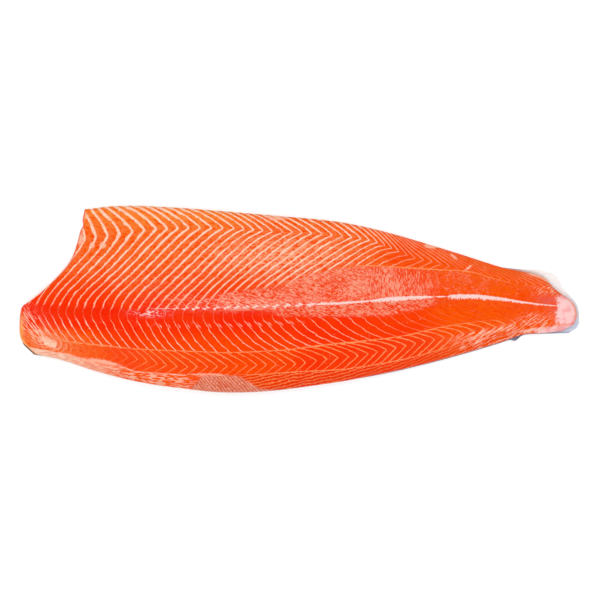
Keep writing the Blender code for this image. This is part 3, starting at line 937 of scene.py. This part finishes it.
def paintEnds(tree, maps, look, colour, lineGroup):
    # the tail's raw spots and frayed tissue, then the head cut with its rings
    rawAmount = times(tree, maps.raw, fade(tree, maps.mottle, 0.36, 0.56), 0.8)
    colour = blendColour(tree, rawAmount, colour, look["rawTone"])
    rose = fade(tree, maps.wander, 0.35, 0.6)
    tissueTone = blendColour(tree, rose, look["tissueRose"], look["tissueTone"])
    tailMix = plus(tree, maps.tissue, swing(tree, maps.wander, 0.6), swing(tree, maps.fine, 1.3))
    colour = blendColour(tree, fade(tree, tailMix, 0.25, 0.8), colour, tissueTone)
    colour = blendColour(tree, times(tree, maps.tailRim, 0.65), colour, look["rimOrange"])
    cutTone = blendColour(tree, fade(tree, maps.fine, 0.42, 0.62), look["cutYellow"], look["cutPale"])
    cutMix = plus(tree, maps.cutFace, swing(tree, maps.wander, 1.0), swing(tree, maps.fine, 0.6))
    colour = blendColour(tree, times(tree, fade(tree, cutMix, 0.3, 0.9), 0.85), colour, cutTone)
    ringPhase = plus(tree, maps.rings, maps.shake)
    ringLines = useGroup(tree, lineGroup, ringPhase, fleshGrid["ringSpacing"], 0.42, 0.35)[0]
    faceDeep = plus(tree, maps.faceDeep, swing(tree, maps.broad, 0.5))
    faceTone = blendColour(tree, faceDeep, look["faceOrange"], look["red"])
    faceTone = blendColour(tree, fade(tree, maps.fine, 0.48, 0.66), faceTone, look["rimOrange"])
    faceTone = blendColour(tree, times(tree, ringLines, 0.75), faceTone, look["warmLine"])
    return blendColour(tree, times(tree, maps.onCut, 0.92), colour, faceTone)


def makeFleshMaterial(lineGroup, seamGroup):
    material, tree, shader = newMaterial("rawSalmon")
    look = fleshLook
    maps = readMaps(tree, fleshMapNames)
    addGrain(tree, maps)
    addLines(tree, maps, lineGroup)
    colour = paintGround(tree, maps, look)
    colour = paintScrape(tree, maps, look, colour)
    colour = paintGlareHaze(tree, maps, look, colour)
    colour = paintLines(tree, maps, look, colour, seamGroup)
    colour = paintFat(tree, maps, look, colour)
    colour = paintSeam(tree, maps, look, colour, seamGroup)
    colour = paintEnds(tree, maps, look, colour, lineGroup)
    rough = plus(tree, look["roughness"], times(tree, maps.fine, 0.2), times(tree, maps.scrape, 0.15))
    grain = noise(tree, 1200, 3.0, 0.65)
    height = plus(tree, times(tree, grain, 0.4), times(tree, maps.mottle, 0.7),
                  times(tree, maps.spots, maps.inScrape, 0.9), times(tree, maps.mainAmount, 0.3))
    finishSurface(tree, shader, look, colour, rough, height)
    shader.inputs["Specular IOR Level"].default_value = look["sheen"]
    shader.inputs["Subsurface Weight"].default_value = look["glow"]
    shader.inputs["Subsurface Radius"].default_value = look["glowRadius"]
    shader.inputs["Subsurface Scale"].default_value = look["glowDepth"]
    return material


skinLook = {
    "backTone": seen(74, 84, 100), "flankTone": seen(176, 184, 194), "bellyTone": seen(228, 228, 226),
    # the flap's whitish tone is set a little past white: painted light that makes up for the shade the
    # flesh casts on the flap
    "innerTone": seen(236, 234, 238), "innerBlue": seen(168, 174, 192), "flapTone": seen(256, 249, 245),
    "spotTone": seen(24, 26, 32), "stubTone": seen(136, 142, 168), "napeTone": seen(66, 58, 70),
    "tailTone": seen(206, 212, 232), "scaleLength": 3.4, "scaleWidth": 2.6,
    "roughness": 0.26, "bumpStrength": 0.5, "bumpDepth": 0.0004, "wetness": 0.3, "wetRoughness": 0.15,
}


def makeSkinMaterial():
    material, tree, shader = newMaterial("salmonSkin")
    look = skinLook
    maps = readMaps(tree, skinMapNames)
    wander = noise(tree, 70, 3.0)
    fine = noise(tree, 600)

    # scales in rows, each row set off by half a scale
    row = calc(tree, "DIVIDE", maps.up, look["scaleWidth"] / 2)
    rowNumber = calc(tree, "FLOOR", row)
    shift = times(tree, calc(tree, "MODULO", calc(tree, "ABSOLUTE", rowNumber), 2), 0.5)
    place = plus(tree, calc(tree, "DIVIDE", maps.along, look["scaleLength"]), shift)
    across = calc(tree, "ABSOLUTE", minus(tree, calc(tree, "FRACT", row), 0.5))
    scale = minus(tree, calc(tree, "FRACT", place), times(tree, across, across, 1.4))
    scaleEdge = fade(tree, calc(tree, "ABSOLUTE", scale), 0.16, 0.0)

    # outside: dark back to pale belly, a few spots and the lateral line
    tone = plus(tree, maps.side, swing(tree, wander, 0.25))
    colour = blendColour(tree, fade(tree, tone, -0.55, 0.1), look["backTone"], look["flankTone"])
    colour = blendColour(tree, fade(tree, tone, 0.3, 0.85), colour, look["bellyTone"])
    spots = fade(tree, noise(tree, 42, 1.0, 0.5, (1, 0.8)), 0.66, 0.70)
    spots = times(tree, spots, fade(tree, maps.side, 0.05, -0.2))
    colour = blendColour(tree, spots, colour, look["spotTone"])
    lateral = fade(tree, calc(tree, "ABSOLUTE", maps.side), 0.016, 0.006)
    colour = blendColour(tree, times(tree, lateral, 0.5), colour, look["backTone"])
    colour = blendColour(tree, times(tree, scaleEdge, 0.35), colour, look["spotTone"])

    # the inner face that shows past the flesh, the loose flap, the fin's stub and the darker corners
    blueness = plus(tree, maps.side, swing(tree, wander, 0.6))
    innerTone = blendColour(tree, fade(tree, blueness, -0.95, -0.6), look["innerBlue"], look["innerTone"])
    colour = blendColour(tree, maps.level, colour, innerTone)
    # the flap's tone holds painted light, lifted past its own white against the flesh's shadow
    colour = blendColour(tree, times(tree, maps.flap, 0.85), colour, look["flapTone"])
    colour = blendColour(tree, maps.tailBlue, colour, look["tailTone"])
    colour = blendColour(tree, times(tree, maps.tailBlue, maps.rim, 0.6), colour, look["stubTone"])
    colour = blendColour(tree, maps.stub, colour, look["stubTone"])
    colour = blendColour(tree, maps.napeDark, colour, look["napeTone"])
    rough = plus(tree, look["roughness"], times(tree, fine, 0.2))
    height = plus(tree, times(tree, scale, 0.7), times(tree, fine, 0.2))
    finishSurface(tree, shader, look, colour, rough, height)
    return material


def makeFloor():
    bm = bmesh.new()
    bmesh.ops.create_grid(bm, x_segments=1, y_segments=1, size=studio["floorSize"] / 2)
    bmesh.ops.translate(bm, vec=(0, 0, -0.0002), verts=bm.verts[:])
    floor = newPiece("floor", bm)
    material, _, shader = newMaterial("floorWhite")
    shader.inputs["Base Color"].default_value = (*[studio["floorTone"]] * 3, 1)
    shader.inputs["Roughness"].default_value = 0.9
    shader.inputs["Specular IOR Level"].default_value = 0.1
    floor.data.materials.append(material)


def makeLight(name, place, size, power):
    data = bpy.data.lights.new(name, "AREA")
    data.shape = "DISK"
    data.size = size
    data.energy = power
    light = bpy.data.objects.new(name, data)
    bpy.context.collection.objects.link(light)
    light.location = place
    light.rotation_mode = "QUATERNION"
    light.rotation_quaternion = (-Vector(place)).to_track_quat("-Z", "Y")


def makeStudio():
    world = bpy.data.worlds.new("studio")
    world.use_nodes = True
    background = world.node_tree.nodes["Background"]
    background.inputs["Color"].default_value = (1, 1, 1, 1)
    background.inputs["Strength"].default_value = studio["worldStrength"]
    bpy.context.scene.world = world
    bpy.context.scene.view_settings.view_transform = "Standard"
    for number, (place, size, power) in enumerate(studio["lamps"]):
        makeLight("lamp%d" % number, place, size, power)
    data = bpy.data.cameras.new("photoCamera")
    data.sensor_width = studio["sensor"]
    data.lens = studio["sensor"] * studio["cameraHeight"] / studio["viewWidth"]
    camera = bpy.data.objects.new("photoCamera", data)
    bpy.context.collection.objects.link(camera)
    camera.location = (*studio["imageCentre"], studio["cameraHeight"])
    bpy.context.scene.camera = camera


print("modelling the flesh")
flesh = makeFlesh()
print("modelling the skin")
skin = makeSkin()
print("mixing the materials")
lineGroup = makeLineGroup()
seamGroup = makeEdgeGroup()
flesh.data.materials.append(makeFleshMaterial(lineGroup, seamGroup))
skin.data.materials.append(makeSkinMaterial())
for piece, node in ((flesh, "flesh"), (skin, "skin")):
    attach(piece, "root")
    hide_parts(node)
print("setting up the studio")
makeFloor()
makeStudio()
